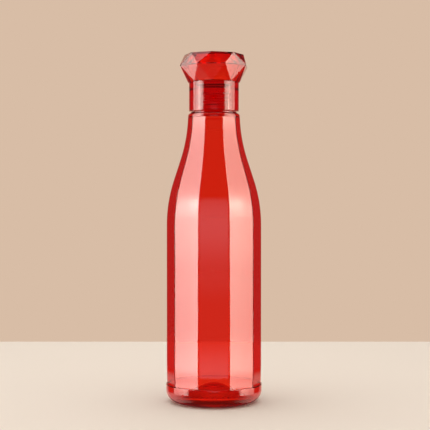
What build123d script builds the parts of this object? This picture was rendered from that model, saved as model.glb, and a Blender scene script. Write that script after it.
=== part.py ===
from build123d import *
import math
import os

# A one-litre table bottle in clear coloured plastic: a blown body with ten flat panels, and a screw cap
# made of a cut-gem outer shell, a threaded insert and a loose sealing disc.
# Millimetres, +Z up, origin at the middle of the ring that the bottle stands on, front towards -Y.

# ---- body: panels
panel_count = 10
panel_apothem = 39.2           # axis to the middle of a panel on the straight body
panel_edge_radius = 3.4        # rounding between two panels
panel_foot_draw = 0.4          # how far a panel leans in just above the ledge
panel_foot_height = 20.0       # height over which it leans
shoulder_start = 154.0         # top of the straight body
shoulder_height = 98.0         # from there to where the panels would stand upright again
shoulder_steepness = 1.68      # steepest lean over the average one; 1 is a cone and 2 is two arcs
shoulder_drop_share = 0.48     # the outward curve's share of the two curves' radii
neck_apothem = 21.5            # axis to the middle of a panel there
wall = 0.9                     # blown wall of the body

# ---- body: foot, heel and pushed-up base
bead_lap = 0.56                # how far the bead round the base stands outside the panels' edges
bead_side = 4.5                # height of the bead's upright side
heel_radius = 11.2             # quarter round from the foot ring up to the bead
ledge_rise = 0.5               # bevel from the bead to the ledge under the panels
foot_ring_width = 1.4          # flat ring that touches the table
push_shoulder_width = 2.4      # foot ring's inside to the edge of the pushed-up cone
push_shoulder_height = 5.0
push_dome = 0.6                # how far the cone bulges from straight
push_button_radius = 9.0       # raised button in the middle of the base
push_button_height = 13.4
push_button_step = 0.6
push_button_rise = 1.6         # dome of the button

# ---- body: collar, support ring and neck finish
collar_drop = 5.2              # from where the panels would stand upright down to the collar
collar_lap = 0.15              # how far the collar stands outside the panels' edges
collar_side = 1.4              # upright part of the collar
collar_round = 2.6
support_ring_width = 6.2
support_ring_height = 1.0
finish_radius = 13.6           # plain neck under the thread
finish_height = 22.0           # support ring to lip
finish_wall = 1.7
lip_edge = 0.4

# ---- thread, the same ridge section on the neck and in the insert
thread_pitch = 25.4 / 6
thread_turns = 3.5
thread_height = 1.15           # how far a ridge stands out of its wall
thread_foot = 2.0              # ridge width at its wall
thread_crest = 0.9
thread_first = 3.0             # support ring to the middle of the ridge's start
thread_clearance = 0.35        # each crest to the wall that faces it
flank_clearance = 0.3          # between the flanks that carry the load
insert_thread_turns = 2.5
insert_thread_lag = 0.75       # turns from the start of the neck's ridge to the insert's
ridge_sink = 0.25              # how deep a ridge's foot lies inside its wall

# ---- sealing disc and insert
gasket_thickness = 1.5
gasket_clearance = 0.3
insert_wall = 1.9
insert_disc = 1.8
insert_lift = 1.2              # insert's rim above the skirt's rim
snap_ring_height = 0.5         # ring round the insert that snaps into the shell's groove
snap_ring_width = 1.6
snap_ring_drop = 6.0           # insert's top to the middle of the ring
shell_clearance = 0.15

# ---- cap shell
skirt_gap = 0.5                # support ring to the skirt's rim
skirt_wall = 4.5
skirt_cover = 0.2              # top of the skirt above the insert's top
rim_edge = 0.5                 # rounding on the skirt's rim
seat_width = 1.6               # ledge in the shell that the insert's top bears on
seat_thickness = 1.6
crown_sides = 8
crown_foot_lap = 0.65          # corners of the eight-sided foot outside the skirt
crown_girdle_radius = 30.8
crown_table_radius = 25.6
crown_girdle_rise = 14.2       # skirt to girdle
crown_height = 24.3            # skirt to the flat table on top
crown_wall = 3.0
crown_twist = -4.5             # how far the shut cap stands turned from square, degrees

# ---- worked out from the above
half_side = math.radians(180 / panel_count)


def edge_radius_at(apothem):
    """Axis to the rounded edge between two panels."""
    return panel_edge_radius + (apothem - panel_edge_radius) / math.cos(half_side)


shoulder_draw = panel_apothem - neck_apothem
shoulder_lean = shoulder_steepness * math.atan2(shoulder_draw, shoulder_height)
shoulder_arcs = (shoulder_height * math.sin(shoulder_lean) - shoulder_draw * math.cos(shoulder_lean)) / (
    1 - math.cos(shoulder_lean))
shoulder_drop_radius = shoulder_drop_share * shoulder_arcs
neck_flare_radius = shoulder_arcs - shoulder_drop_radius
bead_radius = edge_radius_at(panel_apothem) + bead_lap
bead_top = heel_radius + bead_side
foot_ring_radius = bead_radius - heel_radius
foot_ring_inside = foot_ring_radius - foot_ring_width
panel_bottom = bead_top + ledge_rise
collar_radius = edge_radius_at(neck_apothem) + collar_lap
collar_bottom = shoulder_start + shoulder_height - collar_drop
collar_top = collar_bottom + collar_side + collar_round
support_top = collar_top + support_ring_height
lip = support_top + finish_height
bore_radius = finish_radius - finish_wall
thread_start = support_top + thread_first
flank_slope = (thread_foot - thread_crest) / 2 / thread_height
thread_drop = (thread_foot + thread_crest) / 2 - flank_slope * thread_clearance + flank_clearance
insert_bore = finish_radius + thread_height + thread_clearance
insert_radius = insert_bore + insert_wall
insert_top = lip + gasket_thickness + insert_disc
skirt_bottom = support_top + skirt_gap
insert_bottom = skirt_bottom + insert_lift
shell_bore = insert_radius + shell_clearance
skirt_radius = shell_bore + skirt_wall
skirt_top = insert_top + skirt_cover
crown_foot_radius = skirt_radius + crown_foot_lap


def disc(radius, bottom, top):
    """A plain cylinder about the axis, from bottom to top."""
    return Pos(0, 0, bottom) * Cylinder(radius, top - bottom, align=(Align.CENTER, Align.CENTER, Align.MIN))


def lathe(lines, grow=0):
    """Turn a closed half outline about the axis, its outside first moved out by grow."""
    half = make_face(lines)
    whole = half + mirror(half, Plane.YZ)
    if grow:
        whole = offset(whole, grow)
    side = 2 * lip
    right = Pos(side / 2, 0) * Rectangle(side, 2 * side)
    return revolve(Plane.XZ * (whole & right), Axis.Z)


def polyline(*points):
    """Straight lines from each point to the next."""
    return [Line(first, second) for first, second in zip(points, points[1:])]


def panel_outline(inset, bottom, top):
    """Half side view of the panelled body, panels moved in by inset: arc, line, arc, line, arc."""
    straight = panel_apothem - inset
    bulge = shoulder_drop_radius - inset
    flare = neck_flare_radius + inset
    flare_end = shoulder_start + shoulder_height
    end_lean = math.asin((flare_end - top) / flare)

    def bulge_point(angle):
        centre = panel_apothem - shoulder_drop_radius
        return (centre + bulge * math.cos(angle), shoulder_start + bulge * math.sin(angle))

    def flare_point(angle):
        centre = neck_apothem + neck_flare_radius
        return (centre - flare * math.cos(angle), flare_end - flare * math.sin(angle))

    foot = (straight - panel_foot_draw, bottom)
    foot_end = (straight, bottom + panel_foot_height)
    return [
        TangentArc(foot_end, foot, tangent=(0, -1)),
        Line(foot_end, (straight, shoulder_start)),
        ThreePointArc((straight, shoulder_start), bulge_point(shoulder_lean / 2),
                      bulge_point(shoulder_lean)),
        Line(bulge_point(shoulder_lean), flare_point(shoulder_lean)),
        ThreePointArc(flare_point(shoulder_lean), flare_point((shoulder_lean + end_lean) / 2),
                      flare_point(end_lean)),
        *polyline(flare_point(end_lean), (0, top), (0, bottom), foot),
    ]


def panelled_block(inset, bottom, top):
    """Solid block with the outline's flat panels all round and rounded edges between them."""
    half = make_face(panel_outline(inset, bottom, top))
    slab = extrude(Plane.XZ * (half + mirror(half, Plane.YZ)), amount=2 * panel_apothem, both=True)
    turns = [(number + 0.5) * 360 / panel_count for number in range(panel_count // 2)]
    block = Rot(0, 0, turns[0]) * slab
    for turn in turns[1:]:
        block = block & (Rot(0, 0, turn) * slab)
    upright = [edge for edge in block.edges() if abs((edge @ 1).Z - (edge @ 0).Z) > wall]
    return fillet(upright, panel_edge_radius - inset)


def foot_outline():
    """Half outline of the foot, heel and bead, filled in to the axis."""
    return [
        TangentArc((foot_ring_radius, 0), (bead_radius, heel_radius), tangent=(1, 0)),
        *polyline(
            (bead_radius, heel_radius),
            (bead_radius, bead_top),
            (bead_radius - ledge_rise, panel_bottom),
            (0, panel_bottom),
            (0, 0),
            (foot_ring_radius, 0),
        ),
    ]


def push_up_outline():
    """Half outline of the hollow under the base."""
    shoulder = (foot_ring_inside - push_shoulder_width, push_shoulder_height)
    button = (push_button_radius, push_button_height)
    button_top = (push_button_radius - push_button_step, push_button_height + push_button_step)
    apex = (0, button_top[1] + push_button_rise)
    return [
        TangentArc((foot_ring_inside, 0), shoulder, tangent=(0, 1)),
        SagittaArc(shoulder, button, -push_dome),
        Line(button, button_top),
        TangentArc(apex, button_top, tangent=(1, 0)),
        *polyline(apex, (0, 0), (foot_ring_inside, 0)),
    ]


def collar_outline():
    """Half outline of the rounded collar above the panels."""
    return [
        TangentArc((collar_radius, collar_bottom + collar_side),
                   (collar_radius - collar_round, collar_top), tangent=(0, 1)),
        *polyline(
            (collar_radius - collar_round, collar_top),
            (0, collar_top),
            (0, collar_bottom),
            (collar_radius, collar_bottom),
            (collar_radius, collar_bottom + collar_side),
        ),
    ]


def ridge(wall_radius, side, turns):
    """Right-hand helical ridge on a wall, standing outwards where side is 1 and inwards where it is -1."""
    sunk = thread_foot / 2 + flank_slope * ridge_sink
    foot = wall_radius - side * ridge_sink
    crest = wall_radius + side * thread_height
    corners = [(foot, -sunk), (crest, -thread_crest / 2), (crest, thread_crest / 2), (foot, sunk)]
    rails = [Pos(0, 0, rise) * Helix(thread_pitch, turns * thread_pitch, radius) for radius, rise in corners]
    flanks = [Face.make_surface_from_curves(rail, rails[number - 1]) for number, rail in enumerate(rails)]
    ends = [Face(Wire.make_polygon([rail @ at for rail in rails])) for at in (0, 1)]
    return Solid(Shell(flanks + ends))


def bottle_body():
    """Blown body with its neck finish."""
    outside = lathe(foot_outline()) + panelled_block(0, panel_bottom, collar_bottom)
    outside += lathe(collar_outline())
    inside = lathe(foot_outline(), -wall)
    inside += panelled_block(wall, panel_bottom - wall, collar_bottom + wall)
    inside += lathe(collar_outline(), -wall)
    inside -= lathe(push_up_outline(), wall)
    neck = chamfer(disc(finish_radius, collar_top - wall, lip).edges().sort_by(Axis.Z)[-1], lip_edge)
    neck += disc(finish_radius + support_ring_width, collar_top - wall / 2, support_top)
    body = outside - lathe(push_up_outline()) - inside + neck
    body += Pos(0, 0, thread_start) * ridge(finish_radius, 1, thread_turns)
    return body - disc(bore_radius, collar_top - 2 * wall, lip)


def sealing_gasket():
    """Soft disc that the insert presses on the lip."""
    return disc(insert_bore - gasket_clearance, lip, lip + gasket_thickness)


def snap_ring(grow):
    """Ring round the insert, or its groove in the shell where it is grown."""
    middle = insert_top - snap_ring_drop
    half = snap_ring_width / 2
    return lathe(polyline(
        (0, middle - half),
        (insert_radius, middle - half),
        (insert_radius + snap_ring_height, middle),
        (insert_radius, middle + half),
        (0, middle + half),
        (0, middle - half),
    ), grow)


def cap_insert():
    """Threaded cup inside the shell."""
    cup = disc(insert_radius, insert_bottom, insert_top) + snap_ring(0)
    cup -= disc(insert_bore, insert_bottom, lip + gasket_thickness)
    lag = 360 * insert_thread_lag
    start = thread_start + insert_thread_lag * thread_pitch - thread_drop
    return cup + Pos(0, 0, start) * Rot(0, 0, lag) * ridge(insert_bore, -1, insert_thread_turns)


def crown(inset, bottom):
    """Cut-gem block: two rings of triangles that meet at an eight-sided girdle."""
    step = 360 / crown_sides
    table = skirt_top + crown_height - inset
    rings = [
        (crown_foot_radius, bottom, 0),
        (crown_girdle_radius, skirt_top + crown_girdle_rise, step / 2),
        (crown_table_radius, table, 0),
    ]
    corners = []
    for radius, height, turn in rings:
        for number in range(crown_sides):
            angle = math.radians(crown_twist - 90 + turn + number * step)
            reach = radius - inset
            corners.append((reach * math.cos(angle), reach * math.sin(angle), height))
    return ConvexPolyhedron(corners)


def cap_shell():
    """Hollow gem crown on a round skirt, bored for the insert."""
    skirt = disc(skirt_radius, skirt_bottom, skirt_top)
    skirt = fillet(skirt.edges().sort_by(Axis.Z)[0], rim_edge)
    seat_top = insert_top + seat_thickness
    hollow = crown(crown_wall, skirt_top) - disc(2 * skirt_radius, skirt_bottom, seat_top)
    shell = skirt + crown(0, skirt_top) - hollow
    shell -= disc(shell_bore - seat_width, insert_top, seat_top)
    return shell - disc(shell_bore, skirt_bottom, insert_top) - snap_ring(shell_clearance)


def main():
    os.makedirs("parts", exist_ok=True)
    for build in (bottle_body, cap_shell, cap_insert, sealing_gasket):
        export_step(build(), f"parts/{build.__name__}.step")


main()
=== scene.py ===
import logging
import math
from dataclasses import dataclass, field
from enum import Enum

import bmesh
import bpy
from mathutils import Matrix, Vector


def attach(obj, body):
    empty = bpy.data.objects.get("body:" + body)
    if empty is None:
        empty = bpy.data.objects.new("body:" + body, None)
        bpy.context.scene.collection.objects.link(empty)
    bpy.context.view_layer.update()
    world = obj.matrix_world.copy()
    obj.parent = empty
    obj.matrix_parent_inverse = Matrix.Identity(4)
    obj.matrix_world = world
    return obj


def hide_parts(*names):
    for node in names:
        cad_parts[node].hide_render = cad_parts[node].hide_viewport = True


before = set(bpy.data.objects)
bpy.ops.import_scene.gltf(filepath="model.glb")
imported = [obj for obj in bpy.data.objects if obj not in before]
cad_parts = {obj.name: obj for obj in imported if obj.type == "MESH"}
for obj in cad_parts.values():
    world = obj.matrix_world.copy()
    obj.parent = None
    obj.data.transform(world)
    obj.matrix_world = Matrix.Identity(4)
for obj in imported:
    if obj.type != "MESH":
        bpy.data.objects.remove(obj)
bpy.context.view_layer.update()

# A one-litre table bottle in clear red plastic with a faceted screw cap. Meshes are shaped in
# millimetres and brought to metres when they are done.

Outline = list[tuple[float, float]]

MM = 0.001
MERGE = 1e-4  # vertices closer than this are one, in millimetres
CUT = 1e-6  # how near a vertex counts as on a cutting plane
SHARP = 40.0  # edges that turn more than this stay crisp, in degrees
LOG = logging.getLogger("water_bottle")


# ------------------------------------------------------------------ small tools for outlines and meshes

def arc(centre: tuple[float, float], radius: float, start: float, end: float, steps: int) -> Outline:
    """Points along a circular arc in the side view.

    Args:
        centre: Radius and height of the arc's centre.
        radius: Radius of the arc.
        start: First angle in degrees, from the outward direction towards up.
        end: Last angle in degrees.
        steps: Number of spans between the points.

    Returns:
        The arc's points, both ends included.
    """
    angles = [math.radians(start + (end - start) * number / steps) for number in range(steps + 1)]
    return [(centre[0] + radius * math.cos(angle), centre[1] + radius * math.sin(angle)) for angle in angles]


def offset_outline(points: Outline, distance: float) -> Outline:
    """Move an open outline sideways, to the left of its direction of travel.

    Args:
        points: The outline.
        distance: How far it moves.

    Returns:
        The moved outline, with as many points.
    """
    moved = []
    for number, (radius, height) in enumerate(points):
        before = Vector(points[max(number - 1, 0)])
        after = Vector(points[min(number + 1, len(points) - 1)])
        along = (after - before).normalized()
        moved.append((radius - along.y * distance, height + along.x * distance))
    return moved


def spin_outline(bm: bmesh.types.BMesh, points: Outline, columns: int) -> None:
    """Turn an open outline once round the axis.

    Args:
        bm: The mesh it is added to.
        points: Radius and height of each point.
        columns: Number of faces round the axis.
    """
    verts = [bm.verts.new((radius, 0, height)) for radius, height in points]
    edges = [bm.edges.new(pair) for pair in zip(verts, verts[1:])]
    bmesh.ops.spin(bm, geom=verts + edges, cent=(0, 0, 0), axis=(0, 0, 1), angle=math.tau,
                   steps=columns, use_merge=True)
    poles = [vert for vert in bm.verts if math.hypot(vert.co.x, vert.co.y) < MERGE]
    bmesh.ops.remove_doubles(bm, verts=poles, dist=MERGE)


def bridge_gap(bm: bmesh.types.BMesh, low: tuple[float, float], high: tuple[float, float]) -> None:
    """Close the ring-shaped gap between two open rims.

    Args:
        bm: The mesh.
        low: Smallest radius and height of the two rims.
        high: Largest radius and height of the two rims.
    """
    def inside(vert: bmesh.types.BMVert) -> bool:
        """Tell whether a vertex lies between the limits."""
        radius = math.hypot(vert.co.x, vert.co.y)
        return (low[0] - MERGE < radius < high[0] + MERGE) and (low[1] - MERGE < vert.co.z < high[1] + MERGE)

    rims = [edge for edge in bm.edges if edge.is_boundary and all(inside(vert) for vert in edge.verts)]
    bmesh.ops.bridge_loops(bm, edges=rims)


def finish_mesh(bm: bmesh.types.BMesh, name: str) -> bpy.types.Object:
    """Bring a mesh to metres and make it an object with even shading.

    Args:
        bm: The finished shape in millimetres. It is freed.
        name: Name of the new object.

    Returns:
        The new object, linked to the scene.
    """
    bmesh.ops.remove_doubles(bm, verts=bm.verts, dist=MERGE)
    bmesh.ops.recalc_face_normals(bm, faces=bm.faces)
    bmesh.ops.scale(bm, vec=(MM, MM, MM), verts=bm.verts)
    mesh = bpy.data.meshes.new(name)
    bm.to_mesh(mesh)
    bm.free()
    mesh.shade_smooth()
    piece = bpy.data.objects.new(name, mesh)
    bpy.context.scene.collection.objects.link(piece)
    return piece


def even_shading(piece: bpy.types.Object, sharp_angle: float) -> None:
    """Let each vertex take its normal from its large faces, so flats stay flat beside small roundings.

    Args:
        piece: The object.
        sharp_angle: Edges that turn more than this stay crisp, in degrees.
    """
    piece.data.set_sharp_from_angle(angle=math.radians(sharp_angle))
    modifier = piece.modifiers.new("even_shading", "WEIGHTED_NORMAL")
    modifier.keep_sharp = True
    modifier.weight = 60


# ------------------------------------------------------------------ threads

class Side(Enum):
    """Which way a thread's ridge stands from its wall."""

    OUTWARDS = 1
    INWARDS = -1


@dataclass(frozen=True)
class Thread:
    """A right-hand helical ridge on a round wall."""

    wall_radius: float
    side: Side
    first_height: float
    first_turn: float
    turns: float
    pitch: float = 25.4 / 6
    height: float = 1.15
    foot: float = 2.0
    crest: float = 0.9
    run_out: float = 0.14
    rounding_start: float = 0.82
    rounding_wide: float = 0.1
    rounding_narrow: float = 0.15
    turns_below: float = 2.5
    columns: int = 96

    def ridge_outline(self) -> Outline:
        """One pitch of the wall with the ridge in its middle."""
        middle = self.pitch / 2
        stand = self.side.value * self.height
        half = [
            (0.0, middle),
            (0.0, self.foot / 2),
            (self.rounding_start, self.crest / 2 + self.rounding_wide),
            (1.0, self.crest / 2 - self.rounding_narrow),
        ]
        lower = [(self.wall_radius + share * stand, middle - width) for share, width in half]
        upper = [(self.wall_radius + share * stand, middle + width) for share, width in reversed(half)]
        return lower + upper

    def build(self, bm: bmesh.types.BMesh, bottom: float, top: float) -> None:
        """Screw the outline up the wall, cut it flat at both ends and fade the ridge's ends into the wall.

        Args:
            bm: The mesh it is added to.
            bottom: Height of the lower cut.
            top: Height of the upper cut.
        """
        part = bmesh.new()
        spare = math.ceil((top - bottom) / self.pitch) + math.ceil(self.turns_below)
        start = self.first_height - (self.first_turn + self.turns_below) * self.pitch
        points = self.ridge_outline()
        verts = [part.verts.new((radius, 0, start + rise)) for radius, rise in points]
        edges = [part.edges.new(pair) for pair in zip(verts, verts[1:])]
        bmesh.ops.spin(part, geom=verts + edges, cent=(0, 0, 0), axis=(0, 0, 1), angle=math.tau * spare,
                       steps=self.columns * spare, dvec=(0, 0, self.pitch / self.columns))
        bmesh.ops.remove_doubles(part, verts=part.verts, dist=MERGE)
        for height, direction in ((bottom, -1), (top, 1)):
            bmesh.ops.bisect_plane(part, geom=part.verts[:] + part.edges[:] + part.faces[:], dist=CUT,
                                   plane_co=(0, 0, height), plane_no=(0, 0, direction), clear_outer=True)
        for vert in part.verts:
            self.fade(vert)
        mesh = bpy.data.meshes.new("thread")
        part.to_mesh(mesh)
        part.free()
        bm.from_mesh(mesh)
        bpy.data.meshes.remove(mesh)

    def fade(self, vert: bmesh.types.BMVert) -> None:
        """Press a vertex back to the wall outside the ridge's length, and part of the way near its ends."""
        radius = math.hypot(vert.co.x, vert.co.y)
        turn = math.atan2(vert.co.y, vert.co.x) / math.tau
        whole = round((vert.co.z - self.first_height) / self.pitch + self.first_turn - turn)
        along = turn + whole - self.first_turn
        share = min(along, self.turns - along) / self.run_out
        share = min(max(share, 0.0), 1.0)
        share = share * share * (3 - 2 * share)
        wanted = self.wall_radius + (radius - self.wall_radius) * share
        vert.co.x *= wanted / radius
        vert.co.y *= wanted / radius


# ------------------------------------------------------------------ materials

def linear(hex_colour: str) -> tuple[float, float, float, float]:
    """Turn an sRGB hex colour into linear red, green, blue and alpha."""
    values = [int(hex_colour[number:number + 2], 16) / 255 for number in (1, 3, 5)]
    low = [value / 12.92 for value in values]
    high = [((value + 0.055) / 1.055) ** 2.4 for value in values]
    mixed = [dark if value <= 0.04045 else bright for value, dark, bright in zip(values, low, high)]
    return (*mixed, 1.0)


def add_node(tree: bpy.types.NodeTree, kind: str, settings: dict | None = None,
             links: dict | None = None) -> bpy.types.Node:
    """Add a node with its settings and links.

    Args:
        tree: The node tree.
        kind: The node's type.
        settings: Values by property name, or by input socket name.
        links: Output sockets by input socket name.

    Returns:
        The new node.
    """
    node = tree.nodes.new(kind)
    for name, value in (settings or {}).items():
        if name in node.inputs.keys():
            node.inputs[name].default_value = value
        else:
            setattr(node, name, value)
    for name, output in (links or {}).items():
        tree.links.new(output, node.inputs[name])
    return node


def new_tree(name: str) -> tuple[bpy.types.Material, bpy.types.NodeTree]:
    """An empty material with nodes, and its tree."""
    material = bpy.data.materials.new(name)
    material.use_nodes = True
    material.node_tree.nodes.clear()
    return material, material.node_tree


@dataclass(frozen=True)
class ClearPlastic:
    """Clear coloured plastic, dyed through: the longer the way through it, the deeper the red."""

    name: str
    tint: str
    dye: str
    dye_per_metre: float
    ior: float
    roughness: tuple[float, float]
    grain_mm: float
    ripple_mm: float
    ripple_depth_mm: float
    ripple_draw: float = 1.0

    def material(self) -> bpy.types.Material:
        """Build the material.

        Returns:
            The material, with its dye as a volume and its skin's ripple as a bump.
        """
        material, tree = new_tree(self.name)
        place = add_node(tree, "ShaderNodeTexCoord").outputs["Object"]
        grain = add_node(tree, "ShaderNodeTexNoise", {"Scale": 1 / (self.grain_mm * MM), "Detail": 3.0},
                         {"Vector": place})
        smooth, rough = self.roughness
        skin = add_node(tree, "ShaderNodeMapRange",
                        {"From Min": 0.35, "From Max": 0.7, "To Min": smooth, "To Max": rough},
                        {"Value": grain.outputs["Fac"]})
        drawn = add_node(tree, "ShaderNodeMapping", {"Scale": (1.0, 1.0, self.ripple_draw)},
                         {"Vector": place})
        ripple = add_node(tree, "ShaderNodeTexNoise", {"Scale": 1 / (self.ripple_mm * MM), "Detail": 1.0},
                          {"Vector": drawn.outputs["Vector"]})
        bump = add_node(tree, "ShaderNodeBump", {"Distance": self.ripple_depth_mm * MM, "Strength": 1.0},
                        {"Height": ripple.outputs["Fac"]})
        shader = add_node(tree, "ShaderNodeBsdfPrincipled",
                          {"Base Color": linear(self.tint), "Transmission Weight": 1.0, "IOR": self.ior},
                          {"Roughness": skin.outputs["Result"], "Normal": bump.outputs["Normal"]})
        inside = add_node(tree, "ShaderNodeVolumeAbsorption",
                          {"Color": linear(self.dye), "Density": self.dye_per_metre})
        add_node(tree, "ShaderNodeOutputMaterial", None,
                 {"Surface": shader.outputs["BSDF"], "Volume": inside.outputs["Volume"]})
        return material


# Stretch-blown PET: a hard, very glossy skin with the faint long ripple that blowing leaves.
BLOWN_PET = ClearPlastic("blown_red_pet", "#ffffff", "#fd8e25", 2700.0, 1.575, (0.015, 0.05),
                         1.5, 12.0, 0.08, 0.3)
# Moulded polystyrene: polished tool faces, so it is as clear as glass, with hardly any ripple.
MOULDED_PS = ClearPlastic("moulded_red_polystyrene", "#ffffff", "#fd9c2a", 1080.0, 1.59, (0.01, 0.03),
                          1.0, 18.0, 0.02)
# Moulded polypropylene: a softer, slightly hazy plastic.
MOULDED_PP = ClearPlastic("moulded_red_polypropylene", "#ffffff", "#fd9c2a", 400.0, 1.49, (0.05, 0.12),
                          0.8, 6.0, 0.02)


@dataclass(frozen=True)
class SoftElastomer:
    """Matt moulded elastomer of the sealing disc."""

    name: str = "soft_red_elastomer"
    colour: str = "#7a1512"
    roughness: float = 0.55
    grain_mm: float = 0.4

    def material(self) -> bpy.types.Material:
        """Build the material with a fine matt grain.

        Returns:
            The material.
        """
        material, tree = new_tree(self.name)
        place = add_node(tree, "ShaderNodeTexCoord").outputs["Object"]
        grain = add_node(tree, "ShaderNodeTexNoise", {"Scale": 1 / (self.grain_mm * MM), "Detail": 4.0},
                         {"Vector": place})
        bump = add_node(tree, "ShaderNodeBump", {"Distance": 0.03 * MM, "Strength": 1.0},
                        {"Height": grain.outputs["Fac"]})
        shader = add_node(tree, "ShaderNodeBsdfPrincipled",
                          {"Base Color": linear(self.colour), "Roughness": self.roughness},
                          {"Normal": bump.outputs["Normal"]})
        add_node(tree, "ShaderNodeOutputMaterial", None, {"Surface": shader.outputs["BSDF"]})
        return material


@dataclass(frozen=True)
class PlainPaper:
    """Matt paper of the studio's floor."""

    name: str
    colour: str

    def material(self) -> bpy.types.Material:
        """Build the material.

        Returns:
            The material.
        """
        material, tree = new_tree(self.name)
        shader = add_node(tree, "ShaderNodeBsdfPrincipled",
                          {"Base Color": linear(self.colour), "Roughness": 0.9, "Specular IOR Level": 0.1})
        add_node(tree, "ShaderNodeOutputMaterial", None, {"Surface": shader.outputs["BSDF"]})
        return material


# ------------------------------------------------------------------ bottle

@dataclass
class Bottle:
    """The blown bottle: underside, panelled body and neck finish as one closed shell, in millimetres."""

    panel_count: int = 10
    panel_apothem: float = 39.2
    panel_edge_radius: float = 3.4
    panel_foot_draw: float = 0.4
    panel_foot_height: float = 20.0
    shoulder_start: float = 154.0
    shoulder_height: float = 98.0
    shoulder_steepness: float = 1.68
    shoulder_drop_share: float = 0.48
    neck_apothem: float = 21.5
    wall: float = 0.9
    bead_lap: float = 0.56
    bead_side: float = 4.5
    heel_radius: float = 11.2
    ledge_rise: float = 0.5
    foot_ring_width: float = 1.4
    foot_ring_edge: float = 0.5
    push_shoulder_width: float = 2.4
    push_shoulder_height: float = 5.0
    push_dome: float = 0.6
    push_button_radius: float = 9.0
    push_button_height: float = 13.4
    push_button_step: float = 0.6
    push_button_rise: float = 1.6
    # The real points stand closer and lower. These are as coarse as they need to be to show.
    stipple_rows: int = 10
    stipple_columns: int = 64
    stipple_depth: float = 0.7
    collar_drop: float = 5.2
    collar_lap: float = 0.15
    collar_side: float = 1.4
    collar_round: float = 2.6
    collar_edge: float = 0.25
    support_ring_width: float = 6.2
    support_ring_height: float = 1.0
    support_ring_edge: float = 0.3
    finish_radius: float = 13.6
    finish_height: float = 22.0
    finish_wall: float = 1.7
    lip_edge: float = 0.4
    neck_fillet: float = 0.6
    bore_round: float = 1.2
    thread_first: float = 3.0
    thread_turns: float = 3.5
    thread_bottom: float = 1.2  # support ring to the lower cut of the threaded wall
    thread_top: float = 1.8  # upper cut of the threaded wall to the lip
    thread_joint: float = 0.3
    seam: float = 2.0  # where the round neck joins the flats round it, out from its own wall
    ring_seam: float = 2.6
    ceiling_seam: float = 3.0
    flat_columns: int = 9
    edge_columns: int = 6
    round_columns: int = 96
    finish: ClearPlastic = BLOWN_PET

    def __post_init__(self) -> None:
        """Work out the heights and radii that follow from the sizes."""
        self.half_side = math.radians(180 / self.panel_count)
        self.bead_radius = self.edge_reach(self.panel_apothem) + self.bead_lap
        self.bead_top = self.heel_radius + self.bead_side
        self.panel_bottom = self.bead_top + self.ledge_rise
        self.foot_outside = self.bead_radius - self.heel_radius
        self.foot_inside = self.foot_outside - self.foot_ring_width
        self.collar_radius = self.edge_reach(self.neck_apothem) + self.collar_lap
        self.collar_bottom = self.shoulder_start + self.shoulder_height - self.collar_drop
        self.collar_top = self.collar_bottom + self.collar_side + self.collar_round
        self.support_top = self.collar_top + self.support_ring_height
        self.support_radius = self.finish_radius + self.support_ring_width
        self.lip = self.support_top + self.finish_height
        self.bore = self.finish_radius - self.finish_wall
        draw = self.panel_apothem - self.neck_apothem
        self.lean = self.shoulder_steepness * math.atan2(draw, self.shoulder_height)
        arcs = self.shoulder_height * math.sin(self.lean) - draw * math.cos(self.lean)
        arcs /= 1 - math.cos(self.lean)
        self.drop_radius = self.shoulder_drop_share * arcs
        self.flare_radius = arcs - self.drop_radius

    def edge_reach(self, apothem: float) -> float:
        """Axis to the rounded edge between two panels that lie at this apothem."""
        return self.panel_edge_radius + (apothem - self.panel_edge_radius) / math.cos(self.half_side)

    def panel_at(self, height: float, inset: float) -> float:
        """Axis to the middle of a panel.

        Args:
            height: Height above the table.
            inset: How far the surface lies inside the outer one.

        Returns:
            The distance from the axis.
        """
        straight = self.panel_apothem - inset
        bottom = self.panel_bottom - inset
        rise = height - self.shoulder_start
        if rise <= 0:
            below = max(bottom + self.panel_foot_height - height, 0.0)
            radius = (self.panel_foot_height ** 2 + self.panel_foot_draw ** 2) / (2 * self.panel_foot_draw)
            return straight - radius + math.sqrt(radius ** 2 - below ** 2)
        drop = self.drop_radius - inset
        flare = self.flare_radius + inset
        left = self.shoulder_height - rise
        if rise < drop * math.sin(self.lean):
            return straight - drop + math.sqrt(drop ** 2 - rise ** 2)
        if left < flare * math.sin(self.lean):
            return self.neck_apothem - inset + flare - math.sqrt(flare ** 2 - left ** 2)
        return straight - drop + (drop - rise * math.sin(self.lean)) / math.cos(self.lean)

    def panel_rows(self, inset: float) -> Outline:
        """Points up a panel's middle, close together only where it curves.

        Args:
            inset: How far the surface lies inside the outer one.

        Returns:
            The points, bottom to top.
        """
        bottom = self.panel_bottom - inset
        top = self.collar_bottom + inset
        foot_end = bottom + self.panel_foot_height
        heights = [bottom + self.panel_foot_height * share for share in (0, 0.12, 0.35, 0.65, 1)]
        heights += [foot_end + (self.shoulder_start - foot_end) * share for share in (0.25, 0.5, 0.75, 1)]
        steps = 24
        heights += [self.shoulder_start + (top - self.shoulder_start) * step / steps
                    for step in range(1, steps + 1)]
        return [(self.panel_at(height, inset), height) for height in heights]

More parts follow.
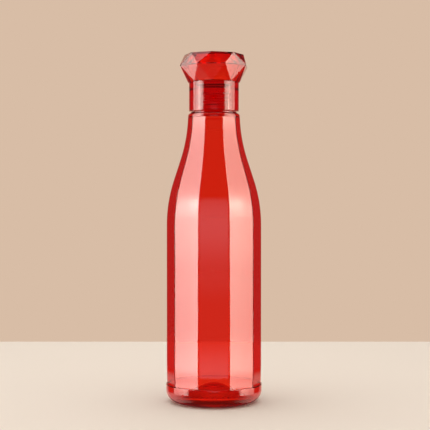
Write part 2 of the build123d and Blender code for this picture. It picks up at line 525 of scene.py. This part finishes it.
    def push_up(self) -> Outline:
        """The underside from the axis out to the foot ring's flat."""
        shoulder = Vector((self.foot_inside - self.push_shoulder_width, self.push_shoulder_height))
        button = Vector((self.push_button_radius, self.push_button_height))
        step = self.push_button_step
        top = (self.push_button_radius - step, self.push_button_height + step)
        dome = [(top[0] * share, top[1] + self.push_button_rise * (1 - share ** 2)) for share in
                (0, 0.2, 0.4, 0.6, 0.8, 0.93, 1)]
        across = shoulder - button
        out = Vector((-across.y, across.x)).normalized()
        cone = []
        for row in range(self.stipple_rows + 1):
            share = row / self.stipple_rows
            point = button + across * share + out * (self.push_dome * 4 * share * (1 - share))
            cone.append((point.x, point.y))
        ring = self.foot_inside
        edge = self.foot_ring_edge
        side = [(ring - self.push_shoulder_width * (1 - share) ** 2,
                 self.push_shoulder_height * (1 - share) + edge * share) for share in (0.25, 0.5, 0.75, 0.9)]
        return dome + cone + side + arc((ring + edge, edge), edge, 180, 270, 4)

    def heel(self) -> Outline:
        """The outside from the foot ring's flat up to the ledge."""
        curve = arc((self.foot_outside, self.heel_radius), self.heel_radius, -90, 0, 20)
        edge = self.ledge_rise
        return curve + [(self.bead_radius, self.bead_top)] + arc(
            (self.bead_radius - edge, self.bead_top), edge, 0, 90, 4)[1:]

    def collar(self) -> Outline:
        """The outside from the panels' top up to the support ring's top."""
        edge = self.collar_edge
        side = self.collar_bottom + self.collar_side
        ring = self.support_ring_edge
        return [
            *arc((self.collar_radius - edge, self.collar_bottom + edge), edge, -90, 0, 3),
            *arc((self.collar_radius - self.collar_round, side), self.collar_round, 0, 90, 10),
            (self.support_radius, self.collar_top),
            *arc((self.support_radius - ring, self.support_top - ring), ring, 0, 90, 3),
            (self.finish_radius + self.ring_seam, self.support_top),
        ]

    def panel_point(self, column: int, apothem: float, rounding: float) -> Vector:
        """Where a column crosses the ten-sided section.

        Args:
            column: Number of the column, counted round the axis.
            apothem: Axis to the middle of a side.
            rounding: Radius of the rounded corners.

        Returns:
            The point, at height 0.
        """
        panel, local = divmod(column, self.flat_columns + self.edge_columns)
        facing = self.half_side * (2 * panel + 1)
        inner = apothem - rounding
        if local <= self.flat_columns:
            share = 2 * local / self.flat_columns - 1
            point = Vector((apothem, share * inner * math.tan(self.half_side), 0))
            return Matrix.Rotation(facing, 3, "Z") @ point
        turn = self.half_side * (2 * (local - self.flat_columns) / self.edge_columns - 1)
        across = Vector((inner / math.cos(self.half_side), 0, 0))
        corner = Matrix.Rotation(facing + self.half_side, 3, "Z") @ across
        return corner + Matrix.Rotation(facing + self.half_side + turn, 3, "Z") @ Vector((rounding, 0, 0))

    def press_panels(self, bm: bmesh.types.BMesh) -> None:
        """Press the round spun wall into flat panels, and line the round rows up with them."""
        columns = self.panel_count * (self.flat_columns + self.edge_columns)
        for vert in bm.verts:
            radius = math.hypot(vert.co.x, vert.co.y)
            height = vert.co.z
            column = round(math.atan2(vert.co.y, vert.co.x) / math.tau * columns) % columns
            place = self.panel_point(column, self.panel_apothem, self.panel_edge_radius).normalized() * radius
            for inset in (0.0, self.wall):
                low = self.panel_bottom - inset - MERGE
                high = self.collar_bottom + inset + MERGE
                if low < height < high and abs(radius - self.panel_at(height, inset)) < 10 * MERGE:
                    place = self.panel_point(column, radius, self.panel_edge_radius - inset)
            vert.co.x = place.x
            vert.co.y = place.y

    def stipple(self, bm: bmesh.types.BMesh) -> None:
        """Raise a small point on every other face of the pushed-up cone, in staggered rows."""
        inner = self.push_button_radius
        outer = self.foot_inside - self.push_shoulder_width
        pitch = (outer - inner) / self.stipple_rows
        chosen = []
        for face in bm.faces:
            centre = face.calc_center_median()
            radius = math.hypot(centre.x, centre.y)
            if not inner + pitch < radius < outer - pitch:
                continue
            row = int((radius - inner) / pitch)
            column = int((math.atan2(centre.y, centre.x) / math.tau + 1) * self.stipple_columns)
            if (row + column) % 2:
                chosen.append(face)
        bmesh.ops.poke(bm, faces=chosen, offset=-self.stipple_depth)

    def build(self) -> bpy.types.Object:
        """Build the shell and dress it.

        Returns:
            The bottle, riding on its body in place of the plain one.
        """
        bm = bmesh.new()
        spin_outline(bm, self.push_up(), self.stipple_columns)
        bmesh.ops.recalc_face_normals(bm, faces=bm.faces)
        self.stipple(bm)
        underside = bpy.data.meshes.new("underside")
        bm.to_mesh(underside)
        bm.free()

        bm = bmesh.new()
        columns = self.panel_count * (self.flat_columns + self.edge_columns)
        spin_outline(bm, self.heel() + self.panel_rows(0.0) + self.collar(), columns)
        spin_outline(bm, self.inside(), columns)
        self.press_panels(bm)
        bm.from_mesh(underside)
        bpy.data.meshes.remove(underside)
        self.neck(bm)
        bridge_gap(bm, (self.foot_inside, 0), (self.foot_outside, 0))
        ceiling = self.collar_top - self.wall
        for radius, seam, height in ((self.finish_radius, self.ring_seam, self.support_top),
                                     (self.bore, self.ceiling_seam, ceiling)):
            bridge_gap(bm, (radius + self.seam, height), (radius + seam, height))
        piece = finish_mesh(bm, "clear_bottle")
        even_shading(piece, SHARP)
        piece.data.materials.append(self.finish.material())
        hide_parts("bottle_body")
        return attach(piece, "bottle")

    def inside(self) -> Outline:
        """The inner surface from the axis, over the floor and up the panels to the flat below the neck."""
        ring = self.foot_inside
        flat = [(ring + self.foot_ring_edge, 0.0), (self.foot_outside, 0.0)]
        curve = arc((self.foot_outside, self.heel_radius), self.heel_radius, -84, 0, 15)
        outer = self.push_up() + flat[1:] + curve + [(self.bead_radius, self.bead_top)]
        # The foot ring's edge is rounder than the wall is thick, so the moved outline
        # would cross itself there.
        floor = [(0.0, offset_outline(outer, self.wall)[0][1])]
        for radius, height in offset_outline(outer, self.wall)[1:]:
            if radius > floor[-1][0] - MERGE and height > self.wall - MERGE:
                floor.append((radius, height))
        ledge = self.panel_bottom - self.wall
        floor[-1] = (self.bead_radius - self.wall, ledge)
        side = self.collar_bottom + self.collar_side
        centre = self.collar_radius - self.collar_round
        return [
            *floor,
            *self.panel_rows(self.wall),
            (self.collar_radius - self.wall, self.collar_bottom + self.wall),
            *arc((centre, side), self.collar_round - self.wall, 0, 90, 8),
            (self.bore + self.ceiling_seam, self.collar_top - self.wall),
        ]

    def neck(self, bm: bmesh.types.BMesh) -> None:
        """Add the neck finish: root, thread, lip and bore."""
        root = self.finish_radius
        fillet = self.neck_fillet
        thread_low = self.support_top + self.thread_bottom
        thread_high = self.lip - self.thread_top
        edge = self.lip_edge
        rounding = self.bore_round
        ceiling = self.collar_top - self.wall
        low = [
            (root + self.seam, self.support_top),
            *arc((root + fillet, self.support_top + fillet), fillet, 270, 180, 4),
        ]
        high = [
            (root, thread_high + self.thread_joint),
            *arc((root - edge, self.lip - edge), edge, 0, 90, 3),
            *arc((self.bore + edge, self.lip - edge), edge, 90, 180, 3),
            *arc((self.bore + rounding, ceiling + rounding), rounding, 180, 270, 5),
            (self.bore + self.seam, ceiling),
        ]
        spin_outline(bm, low, self.round_columns)
        spin_outline(bm, high, self.round_columns)
        first = self.support_top + self.thread_first
        Thread(root, Side.OUTWARDS, first, 0.0, self.thread_turns).build(bm, thread_low, thread_high)
        bridge_gap(bm, (root, low[-1][1]), (root, thread_low))
        bridge_gap(bm, (root, thread_high), (root, high[0][1]))


# ------------------------------------------------------------------ cap

@dataclass
class Cap:
    """The screw cap: gem-cut shell, threaded insert and sealing disc, in millimetres."""

    bottle: Bottle
    thread_clearance: float = 0.35
    flank_clearance: float = 0.3
    gasket_thickness: float = 1.5
    gasket_clearance: float = 0.3
    insert_wall: float = 1.9
    insert_disc: float = 1.8
    insert_lift: float = 1.2
    insert_edge: float = 0.3
    insert_thread_turns: float = 2.5
    insert_thread_lag: float = 0.75
    insert_fillet: float = 0.6
    thread_bottom: float = 1.4  # insert's rim to the lower cut of its threaded wall
    thread_top: float = 1.5  # upper cut of the threaded wall to the insert's ceiling
    thread_joint: float = 0.3
    gasket_edge: float = 0.25
    snap_ring_height: float = 0.5
    snap_ring_width: float = 1.6
    snap_ring_drop: float = 6.0
    snap_ring_shoulder: float = 0.8  # share of its height at the shoulders of its rounded tip
    snap_ring_tip: float = 0.25
    shell_clearance: float = 0.15
    skirt_gap: float = 0.5
    skirt_wall: float = 4.5
    skirt_cover: float = 0.2
    rim_edge: float = 0.5
    bore_lead: float = 0.6  # chamfer at the mouth of the shell's bore
    seat_width: float = 1.6
    seat_thickness: float = 1.6
    crown_sides: int = 8
    crown_foot_lap: float = 0.65
    crown_girdle_radius: float = 30.8
    crown_table_radius: float = 25.6
    crown_girdle_rise: float = 14.2
    crown_height: float = 24.3
    crown_wall: float = 3.0
    crown_twist: float = -4.5
    crown_edge: float = 0.1
    gem_sharp: float = 30.0  # as SHARP, for the gem's facets
    cut_past: float = 1.0  # how far a blank reaches past what it cuts
    round_columns: int = 96
    shell_finish: ClearPlastic = MOULDED_PS
    insert_finish: ClearPlastic = MOULDED_PP
    gasket_finish: SoftElastomer = field(default_factory=SoftElastomer)

    def __post_init__(self) -> None:
        """Work out the heights and radii that follow from the bottle's neck."""
        bottle = self.bottle
        thread = Thread(bottle.finish_radius, Side.OUTWARDS, 0, 0, 1)
        slope = (thread.foot - thread.crest) / 2 / thread.height
        self.thread_drop = (thread.foot + thread.crest) / 2 + self.flank_clearance
        self.thread_drop -= slope * self.thread_clearance
        self.pitch = thread.pitch
        self.insert_bore = bottle.finish_radius + thread.height + self.thread_clearance
        self.insert_radius = self.insert_bore + self.insert_wall
        self.ceiling = bottle.lip + self.gasket_thickness
        self.insert_top = self.ceiling + self.insert_disc
        self.skirt_bottom = bottle.support_top + self.skirt_gap
        self.insert_bottom = self.skirt_bottom + self.insert_lift
        self.shell_bore = self.insert_radius + self.shell_clearance
        self.skirt_radius = self.shell_bore + self.skirt_wall
        self.skirt_top = self.insert_top + self.skirt_cover
        self.table = self.skirt_top + self.crown_height

    def snap_ring(self, grow: float) -> Outline:
        """Outline of the insert's snap ring, bottom to top, or of its groove where it is grown."""
        middle = self.insert_top - self.snap_ring_drop
        half = self.snap_ring_width / 2 + grow
        wall = self.insert_radius + grow
        tip = self.snap_ring_height
        shoulder = wall + tip * self.snap_ring_shoulder
        return [(wall, middle - half), (shoulder, middle - self.snap_ring_tip), (wall + tip, middle),
                (shoulder, middle + self.snap_ring_tip), (wall, middle + half)]

    def build_insert(self) -> bpy.types.Object:
        """Build the threaded insert.

        Returns:
            The insert, riding on the cap.
        """
        bm = bmesh.new()
        edge = self.insert_edge
        radius = self.insert_radius
        bore = self.insert_bore
        first_turn = self.insert_thread_lag
        bottle = self.bottle
        first = bottle.support_top + bottle.thread_first + first_turn * self.pitch - self.thread_drop
        low = self.insert_bottom + self.thread_bottom
        high = self.ceiling - self.thread_top
        outside = [
            (bore, low - self.thread_joint),
            *arc((bore + edge, self.insert_bottom + edge), edge, 180, 270, 3),
            *arc((radius - edge, self.insert_bottom + edge), edge, -90, 0, 3),
            *self.snap_ring(0.0),
            *arc((radius - edge, self.insert_top - edge), edge, 0, 90, 3),
            (0.0, self.insert_top),
        ]
        fillet = self.insert_fillet
        ceiling = [
            (bore, high + self.thread_joint),
            *arc((bore - fillet, self.ceiling - fillet), fillet, 0, 90, 4),
            (0.0, self.ceiling),
        ]
        spin_outline(bm, outside, self.round_columns)
        spin_outline(bm, ceiling, self.round_columns)
        Thread(bore, Side.INWARDS, first, first_turn, self.insert_thread_turns).build(bm, low, high)
        bridge_gap(bm, (bore, outside[0][1]), (bore, low))
        bridge_gap(bm, (bore, high), (bore, ceiling[0][1]))
        piece = finish_mesh(bm, "threaded_insert")
        even_shading(piece, SHARP)
        piece.data.materials.append(self.insert_finish.material())
        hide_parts("cap_insert")
        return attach(piece, "cap")

    def gem(self, inset: float, bottom: float) -> bmesh.types.BMesh:
        """The crown as a closed gem: three eight-sided rings and the hull round them.

        Args:
            inset: How far its faces lie inside the crown's.
            bottom: Height of its foot.

        Returns:
            The gem's mesh.
        """
        bm = bmesh.new()
        step = math.tau / self.crown_sides
        turn = math.radians(self.crown_twist - 90)
        girdle = self.skirt_top + self.crown_girdle_rise
        rings = (
            (self.skirt_radius + self.crown_foot_lap, bottom, 0.0),
            (self.crown_girdle_radius, girdle, step / 2),
            (self.crown_table_radius, self.table - inset, 0.0),
        )
        for radius, height, shift in rings:
            place = Matrix.Translation((0, 0, height)) @ Matrix.Rotation(turn + shift, 4, "Z")
            bmesh.ops.create_circle(bm, segments=self.crown_sides, radius=radius - inset, matrix=place)
        bmesh.ops.convex_hull(bm, input=bm.verts[:])
        bmesh.ops.dissolve_limit(bm, angle_limit=math.radians(1), verts=bm.verts[:], edges=bm.edges[:])
        bmesh.ops.recalc_face_normals(bm, faces=bm.faces)
        return bm

    def build_shell(self) -> bpy.types.Object:
        """Build the hollow gem crown and its skirt, bored for the insert.

        Returns:
            The shell, riding on the cap.
        """
        crown = self.gem(0.0, self.skirt_top)
        bmesh.ops.bevel(crown, geom=crown.edges[:], offset=self.crown_edge, segments=2, profile=0.5,
                        affect="EDGES", material=-1)
        skirt = bmesh.new()
        edge = self.rim_edge
        rim = arc((self.skirt_radius - edge, self.skirt_bottom + edge), edge, -90, 0, 5)
        spin_outline(skirt, [(0.0, self.skirt_bottom), *rim, (self.skirt_radius, self.skirt_top),
                             (0.0, self.skirt_top)], self.round_columns)
        hollow = self.gem(self.crown_wall, self.skirt_top)
        seat_top = self.insert_top + self.seat_thickness
        whole = hollow.verts[:] + hollow.edges[:] + hollow.faces[:]
        cut = bmesh.ops.bisect_plane(hollow, geom=whole, dist=CUT,
                                     plane_co=(0, 0, seat_top), plane_no=(0, 0, -1), clear_outer=True)
        rim_edges = [item for item in cut["geom_cut"] if isinstance(item, bmesh.types.BMEdge)]
        bmesh.ops.contextual_create(hollow, geom=rim_edges)
        bore = bmesh.new()
        hole = self.shell_bore - self.seat_width
        outline = [
            (0.0, self.skirt_bottom - 2 * self.cut_past),
            (self.shell_bore + self.bore_lead, self.skirt_bottom),
            (self.shell_bore, self.skirt_bottom + self.bore_lead),
            *self.snap_ring(self.shell_clearance),
            (self.shell_bore, self.insert_top),
            (hole, self.insert_top),
            (hole, seat_top + self.cut_past),
            (0.0, seat_top + self.cut_past),
        ]
        spin_outline(bore, outline, self.round_columns)
        piece = finish_mesh(crown, "gem_cap_shell")
        others = [
            (finish_mesh(skirt, "skirt_blank"), "UNION"),
            (finish_mesh(hollow, "hollow_blank"), "DIFFERENCE"),
            (finish_mesh(bore, "bore_blank"), "DIFFERENCE"),
        ]
        for blank, operation in others:
            modifier = piece.modifiers.new(blank.name, "BOOLEAN")
            modifier.object = blank
            modifier.operation = operation
            modifier.solver = "EXACT"
        bpy.context.view_layer.update()
        whole = bpy.data.meshes.new_from_object(piece.evaluated_get(bpy.context.evaluated_depsgraph_get()))
        piece.modifiers.clear()
        piece.data = whole
        for blank, _ in others:
            bpy.data.objects.remove(blank)
        whole.name = "gem_cap_shell"
        whole.shade_smooth()
        even_shading(piece, self.gem_sharp)
        whole.materials.clear()
        whole.materials.append(self.shell_finish.material())
        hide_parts("cap_shell")
        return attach(piece, "cap")

    def build_gasket(self) -> bpy.types.Object:
        """Build the sealing disc.

        Returns:
            The disc, riding on the seal.
        """
        bm = bmesh.new()
        edge = self.gasket_edge
        low = self.bottle.lip
        radius = self.insert_bore - self.gasket_clearance
        spin_outline(bm, [(0.0, low), *arc((radius - edge, low + edge), edge, -90, 0, 3),
                          *arc((radius - edge, self.ceiling - edge), edge, 0, 90, 3), (0.0, self.ceiling)],
                     self.round_columns)
        piece = finish_mesh(bm, "sealing_disc")
        even_shading(piece, SHARP)
        piece.data.materials.append(self.gasket_finish.material())
        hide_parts("sealing_gasket")
        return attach(piece, "seal")


# ------------------------------------------------------------------ studio

Bands = tuple[tuple[float, float], ...]


@dataclass(frozen=True)
class Glow:
    """Lit cloth whose brightness changes gently with height and from side to side."""

    name: str
    colour: str
    strength: float
    rise: Bands
    across: Bands = ((-1.0, 1.0), (1.0, 1.0))
    spot: tuple[float, float] = (0.0, -9.0)
    spot_radius: tuple[float, float] = (0.04, 0.08)
    spot_gain: float = 0.0

    def level(self, tree: bpy.types.NodeTree, where: bpy.types.NodeSocket,
              bands: Bands) -> bpy.types.NodeSocket:
        """Brightness along one direction.

        Args:
            tree: The material's node tree.
            where: Position along the direction, in metres.
            bands: Positions and the brightness there, half as bright at 0.5.

        Returns:
            The output that carries half the brightness.
        """
        low, high = bands[0][0], bands[-1][0]
        share = add_node(tree, "ShaderNodeMapRange", {"From Min": low, "From Max": high}, {"Value": where})
        ramp = add_node(tree, "ShaderNodeValToRGB", None, {"Fac": share.outputs["Result"]})
        stops = ramp.color_ramp.elements
        while len(stops) < len(bands):
            stops.new(0.5)
        for stop, (position, level) in zip(stops, bands):
            stop.position = (position - low) / (high - low)
            stop.color = (level / 2, level / 2, level / 2, 1)
        ramp.color_ramp.interpolation = "EASE"
        return ramp.outputs["Color"]

    def material(self) -> bpy.types.Material:
        """Build the material.

        Returns:
            The material, which only mirror reflections pick up.
        """
        material, tree = new_tree(self.name)
        place = add_node(tree, "ShaderNodeTexCoord").outputs["Object"]
        split = add_node(tree, "ShaderNodeSeparateXYZ", None, {"Vector": place})
        both = add_node(tree, "ShaderNodeMath", {"operation": "MULTIPLY"})
        tree.links.new(self.level(tree, split.outputs["Z"], self.rise), both.inputs[0])
        tree.links.new(self.level(tree, split.outputs["Y"], self.across), both.inputs[1])
        near = add_node(tree, "ShaderNodeMapping", {"vector_type": "TEXTURE", "Location": (0, *self.spot),
                                                    "Scale": (9.0, *self.spot_radius)}, {"Vector": place})
        spot = add_node(tree, "ShaderNodeTexGradient", {"gradient_type": "QUADRATIC_SPHERE"},
                        {"Vector": near.outputs["Vector"]})
        gain = add_node(tree, "ShaderNodeMapRange", {"To Min": self.strength * 4,
                                                     "To Max": self.strength * 4 * (1 + self.spot_gain)},
                        {"Value": spot.outputs["Fac"]})
        power = add_node(tree, "ShaderNodeMath", {"operation": "MULTIPLY"})
        tree.links.new(both.outputs["Value"], power.inputs[0])
        tree.links.new(gain.outputs["Result"], power.inputs[1])
        light = add_node(tree, "ShaderNodeEmission", {"Color": linear(self.colour)},
                         {"Strength": power.outputs["Value"]})
        add_node(tree, "ShaderNodeOutputMaterial", None, {"Surface": light.outputs["Emission"]})
        material.cycles.emission_sampling = "NONE"
        return material


@dataclass
class Studio:
    """Floor, light and camera, in metres."""

    camera_distance: float = 0.977
    camera_height: float = 0.179
    camera_aside: float = 0.0009
    camera_tilt: float = -0.97
    lens: float = 94.0
    floor_side: float = 1.5
    floor_front: float = -1.6
    floor_back: float = 0.40
    backdrop_colour: str = "#d8bda6"
    backlight: float = 1.0
    room_colour: str = "#3c3a3c"
    ambient_colour: str = "#e8e0d8"
    ambient_strength: float = 0.9
    underlight_reach: float = 0.035
    underlight_height: float = 0.0002
    light_bounces: int = 48

    def place_card(self, name: str, corners: list[tuple[float, float, float]],
                   material: bpy.types.Material) -> bpy.types.Object:
        """Add a flat four-cornered card to the set.

        Args:
            name: Name of the card.
            corners: Its corners in order.
            material: What it is made of.

        Returns:
            The card.
        """
        bm = bmesh.new()
        bmesh.ops.contextual_create(bm, geom=[bm.verts.new(corner) for corner in corners])
        mesh = bpy.data.meshes.new(name)
        bm.to_mesh(mesh)
        bm.free()
        mesh.materials.append(material)
        card = bpy.data.objects.new(name, mesh)
        bpy.context.scene.collection.objects.link(card)
        return card

    def build_floor(self) -> None:
        """Lay the pale floor."""
        side, front, back = self.floor_side, self.floor_front, self.floor_back
        corners = [(-side, front, 0), (side, front, 0), (side, back, 0), (-side, back, 0)]
        floor = self.place_card("floor", corners, PlainPaper("pale_paper", "#f4ebe0").material())
        floor.visible_glossy = False

    def build_mirrored(self, name: str, start: tuple[float, float], end: tuple[float, float],
                       bottom: float, top: float, cloth: Glow) -> None:
        """Stand a lit card beside the set, seen only in the object's mirror reflections.

        Args:
            name: Name of the card.
            start: Where its first upright edge stands.
            end: Where its other upright edge stands.
            bottom: Height of its lower edge.
            top: Height of its upper edge.
            cloth: How it shines.
        """
        card = self.place_card(name, [(*start, bottom), (*end, bottom), (*end, top), (*start, top)],
                               cloth.material())
        card.visible_camera = False
        card.visible_diffuse = False
        card.visible_transmission = False
        card.visible_shadow = False

    def build_lamp(self, name: str, place: tuple[float, float, float], size: tuple[float, float],
                   power: float, tilt: float) -> None:
        """Hang a broad soft lamp.

        Args:
            name: Name of the lamp.
            place: Where its middle is.
            size: Width and height.
            power: Radiant power in watts.
            tilt: How far it is tipped up from facing the floor, in degrees, towards the back of the set.
        """
        light = bpy.data.lights.new(name, "AREA")
        light.shape = "RECTANGLE"
        light.size, light.size_y = size
        light.energy = power
        lamp = bpy.data.objects.new(name, light)
        bpy.context.scene.collection.objects.link(lamp)
        lamp.matrix_world = Matrix.Translation(place) @ Matrix.Rotation(math.radians(tilt), 4, "X")
        lamp.visible_camera = False

    def build_world(self) -> None:
        """Surround the set with a plain backdrop, which mirror reflections see as a dim room."""
        world = bpy.data.worlds.new("surround")
        bpy.context.scene.world = world
        world.use_nodes = True
        tree = world.node_tree
        tree.nodes.clear()
        path = add_node(tree, "ShaderNodeLightPath")
        towards = add_node(tree, "ShaderNodeSeparateXYZ", None,
                           {"Vector": add_node(tree, "ShaderNodeTexCoord").outputs["Generated"]})
        ceiling = add_node(tree, "ShaderNodeMapRange", {"From Min": 0.4, "From Max": 0.85,
                                                        "To Min": 1.0, "To Max": 0.85},
                           {"Value": towards.outputs["Z"]})
        through = add_node(tree, "ShaderNodeMapRange", {"To Min": 1.0, "To Max": self.backlight},
                           {"Value": path.outputs["Is Transmission Ray"]})
        strength = add_node(tree, "ShaderNodeMath", {"operation": "MULTIPLY"})
        tree.links.new(ceiling.outputs["Result"], strength.inputs[0])
        tree.links.new(through.outputs["Result"], strength.inputs[1])
        backdrop = add_node(tree, "ShaderNodeBackground", {"Color": linear(self.backdrop_colour)},
                            {"Strength": strength.outputs["Value"]})
        room = add_node(tree, "ShaderNodeBackground", {"Color": linear(self.room_colour)})
        ambient = add_node(tree, "ShaderNodeBackground", {"Color": linear(self.ambient_colour),
                                                          "Strength": self.ambient_strength})
        mirrored = add_node(tree, "ShaderNodeMath", {"operation": "SUBTRACT", "use_clamp": True})
        tree.links.new(path.outputs["Is Glossy Ray"], mirrored.inputs[0])
        tree.links.new(path.outputs["Is Transmission Ray"], mirrored.inputs[1])
        seen = add_node(tree, "ShaderNodeMixShader", None, {"Fac": mirrored.outputs["Value"]})
        tree.links.new(backdrop.outputs["Background"], seen.inputs[1])
        tree.links.new(room.outputs["Background"], seen.inputs[2])
        lit = add_node(tree, "ShaderNodeMixShader", None, {"Fac": path.outputs["Is Diffuse Ray"]})
        tree.links.new(seen.outputs["Shader"], lit.inputs[1])
        tree.links.new(ambient.outputs["Background"], lit.inputs[2])
        add_node(tree, "ShaderNodeOutputWorld", None, {"Surface": lit.outputs["Shader"]})

    def build_camera(self) -> None:
        """Set the camera at the height of the bottle's waist, looking very slightly down."""
        data = bpy.data.cameras.new("camera")
        data.lens = self.lens
        data.sensor_width = 36.0
        camera = bpy.data.objects.new("camera", data)
        bpy.context.scene.collection.objects.link(camera)
        camera.location = (self.camera_aside, -self.camera_distance, self.camera_height)
        camera.rotation_euler = (math.radians(90 + self.camera_tilt), 0, 0)
        bpy.context.scene.camera = camera

    def build_reflections(self) -> None:
        """Stand the two tall softboxes, the table's glow, the backdrop's middle and the front fill."""
        tall = ((-0.1, 1.0), (-0.08, 0.9), (-0.068, 0.7), (-0.056, 0.9), (-0.04, 1.28), (0.02, 0.97),
                (0.07, 1.05), (0.14, 1.3), (0.21, 1.42), (0.285, 1.2), (0.35, 1.08), (0.4, 1.0),
                (0.47, 1.0), (0.5, 1.3), (0.8, 1.3))
        deep = ((-0.172, 1.06), (-0.145, 0.92), (-0.11, 0.85), (-0.05, 0.72), (0.03, 0.45), (0.1, 0.48),
                (0.16, 0.3))
        parts = (("low", -0.27, -0.10, 0.10, ((-0.27, 0.0), (-0.21, 0.85), *deep)),
                 ("high", -0.40, 0.10, 0.80, ((-0.4, 0.5), (-0.21, 0.92), *deep)))
        low = ((-0.7, 0.6), (-0.13, 1.0), (-0.1, 1.6))
        wide = ((-0.4, 0.0), (-0.28, 0.12), (-0.2, 0.2), (-0.14, 0.4), (-0.03, 0.8), (0.1, 1.0), (0.3, 1.0))
        back = ((-0.7, 0.7), (-0.17, 0.8), (-0.11, 0.45), (-0.09, 0.0))
        for side, name, colour, strength in ((-1, "left", "#fff6ec", 7.4), (1, "right", "#fff1e0", 6.8)):
            away = side * 0.45
            for part, front, bottom, top, across in parts:
                self.build_mirrored(f"softbox_{name}_{part}", (away, front), (away, 0.16), bottom, top,
                                    Glow(f"{name}_cloth_{part}", colour, strength, tall, across,
                                         (-0.16, 0.275), (0.05, 0.10), 0.9))
            self.build_mirrored(f"table_glow_{name}", (away, -0.40), (away, 0.30), -0.7, -0.10,
                                Glow(f"{name}_table", colour, 1.1, low, wide))
            self.build_mirrored(f"table_back_{name}", (away, 0.30), (away, 0.95), -0.7, -0.09,
                                Glow(f"{name}_back", colour, 0.9, back))
        behind = Glow("behind_cloth", "#d8bda6", 1.0, ((-0.3, 1.3), (-0.05, 1.3), (0.0, 1.0), (1.2, 1.0)))
        self.build_mirrored("mirrored_backdrop", (-0.42, 1.0), (0.42, 1.0), -0.3, 1.2, behind)
        front = Glow("front_cloth", "#f4f6ff", 1.0,
                     ((-0.027, 0.95), (-0.01, 0.95), (0.028, 0.15), (0.06, 0.16), (0.095, 0.38), (0.15, 1.08),
                      (0.21, 0.97), (0.25, 0.75), (0.29, 0.0)))
        self.build_mirrored("front_fill", (-0.085, -0.3), (0.085, -0.3), -0.027, 0.29, front)

    def build_underlight(self) -> None:
        """Lay the glow that the table throws up into the base, seen only through the plastic."""
        reach = self.underlight_reach
        patches = ((-0.035, 0.7), (-0.026, 0.6), (-0.018, 0.15), (-0.002, 0.2), (0.01, 1.5), (0.035, 1.5))
        height = self.underlight_height
        corners = [(-reach, 0, height), (0, -reach, height), (reach, 0, height), (0, reach, height)]
        glow = Glow("table_bounce", "#ffe4cc", 0.5, ((-1.0, 1.0), (1.0, 1.0)), patches)
        card = self.place_card("underlight", corners, glow.material())
        card.visible_camera = False
        card.visible_diffuse = False
        card.visible_glossy = False
        card.visible_shadow = False

    def build(self) -> None:
        """Build everything and let light pass through all the walls of the cap."""
        self.build_floor()
        self.build_reflections()
        self.build_underlight()
        self.build_lamp("overhead", (-0.2, 0.1, 1.5), (1.2, 1.2), 6.0, 0)
        self.build_world()
        self.build_camera()
        scene = bpy.context.scene
        scene.view_settings.view_transform = "Standard"
        scene.cycles.max_bounces = self.light_bounces
        scene.cycles.glossy_bounces = self.light_bounces
        scene.cycles.transmission_bounces = self.light_bounces


def main() -> None:
    """Build the pieces in order."""
    logging.basicConfig(level=logging.INFO, format="%(name)s: %(message)s")
    Studio().build()
    bottle = Bottle()
    cap = Cap(bottle)
    for build in (bottle.build, cap.build_insert, cap.build_gasket, cap.build_shell):
        piece = build()


if __name__ == "__main__":
    main()
